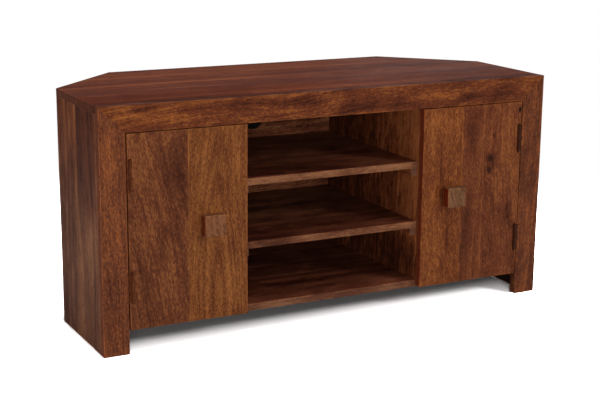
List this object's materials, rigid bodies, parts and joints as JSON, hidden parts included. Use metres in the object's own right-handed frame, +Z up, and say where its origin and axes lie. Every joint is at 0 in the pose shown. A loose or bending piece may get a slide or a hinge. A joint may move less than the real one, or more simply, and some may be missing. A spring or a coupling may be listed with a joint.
{
  "type": "corner tv cabinet",
  "caption": "Low corner television cabinet in dark stained hardwood with cut off rear corners, open shelved bays in the middle and a hinged plank door at each side.",
  "frame": {"origin": "on the floor, below the middle of the bounding box", "axes": "+X to the right seen from the front, +Y to the back, +Z up"},
  "size_m": [1.2, 0.5272, 0.578],
  "materials": {
    "frame_wood": "dark honey stain, satin lacquer",
    "top_wood": "reddish brown stain, satin lacquer",
    "side_wood": "brown stain, satin lacquer",
    "inner_wood": "brown stain, thin lacquer",
    "shelf_wood": "brown stain, satin lacquer",
    "door_wood": "dark honey stain, satin lacquer",
    "knob_wood": "dark honey stain, satin lacquer",
    "hinge_bronze": "dark antique bronze",
    "screw_steel": "zinc plated",
    "grommet_plastic": "black, fine texture",
    "catch_plastic": "brown"
  },
  "bodies": {
    "carcass": {"face_rail": "frame_wood", "face_post_left": "frame_wood", "face_post_right": "frame_wood", "top_plank_1": "top_wood", "top_plank_2": "top_wood", "top_plank_3": "top_wood", "top_plank_4": "top_wood", "side_plank_left_1": "side_wood", "side_plank_left_2": "side_wood", "side_plank_right_1": "side_wood", "side_plank_right_2": "side_wood", "corner_panel_left": "side_wood", "corner_panel_right": "side_wood", "back_panel": "inner_wood", "partition_left": "inner_wood", "partition_right": "inner_wood", "bottom_board": "shelf_wood", "bottom_cleat_left": "inner_wood", "bottom_cleat_right": "inner_wood", "shelf_lower": "shelf_wood", "shelf_upper": "shelf_wood", "shelf_cleat_lower_left": "inner_wood", "shelf_cleat_lower_right": "inner_wood", "shelf_cleat_upper_left": "inner_wood", "shelf_cleat_upper_right": "inner_wood", "cable_grommet_liner": "grommet_plastic", "cable_grommet_cap": "grommet_plastic", "hinge_leaf_post_left_upper": "hinge_bronze", "hinge_leaf_post_left_lower": "hinge_bronze", "hinge_leaf_post_right_upper": "hinge_bronze", "hinge_leaf_post_right_lower": "hinge_bronze", "hinge_pin_left_upper": "hinge_bronze", "hinge_pin_left_lower": "hinge_bronze", "hinge_pin_right_upper": "hinge_bronze", "hinge_pin_right_lower": "hinge_bronze", "magnetic_catch_left": "catch_plastic", "magnetic_catch_right": "catch_plastic"},
    "door_left": {"door_plank_left_1": "door_wood", "door_plank_left_2": "door_wood", "door_batten_left_upper": "inner_wood", "door_batten_left_lower": "inner_wood", "knob_left": "knob_wood", "knob_screw_left": "screw_steel", "hinge_leaf_door_left_upper": "hinge_bronze", "hinge_leaf_door_left_lower": "hinge_bronze", "magnetic_strike_left": "screw_steel"},
    "door_right": {"door_plank_right_1": "door_wood", "door_plank_right_2": "door_wood", "door_plank_right_3": "door_wood", "door_batten_right_upper": "inner_wood", "door_batten_right_lower": "inner_wood", "knob_right": "knob_wood", "knob_screw_right": "screw_steel", "hinge_leaf_door_right_upper": "hinge_bronze", "hinge_leaf_door_right_lower": "hinge_bronze", "magnetic_strike_right": "screw_steel"}
  },
  "joints": [
    {"name": "door_left_hinge", "type": "hinge", "parent": "carcass", "child": "door_left", "pos_m": [-0.5285, -0.2434, 0.289], "axis": [0, 0, -1], "range_deg": [0, 170]},
    {"name": "door_right_hinge", "type": "hinge", "parent": "carcass", "child": "door_right", "pos_m": [0.5285, -0.2434, 0.289], "axis": [0, 0, 1], "range_deg": [0, 170]}
  ]
}
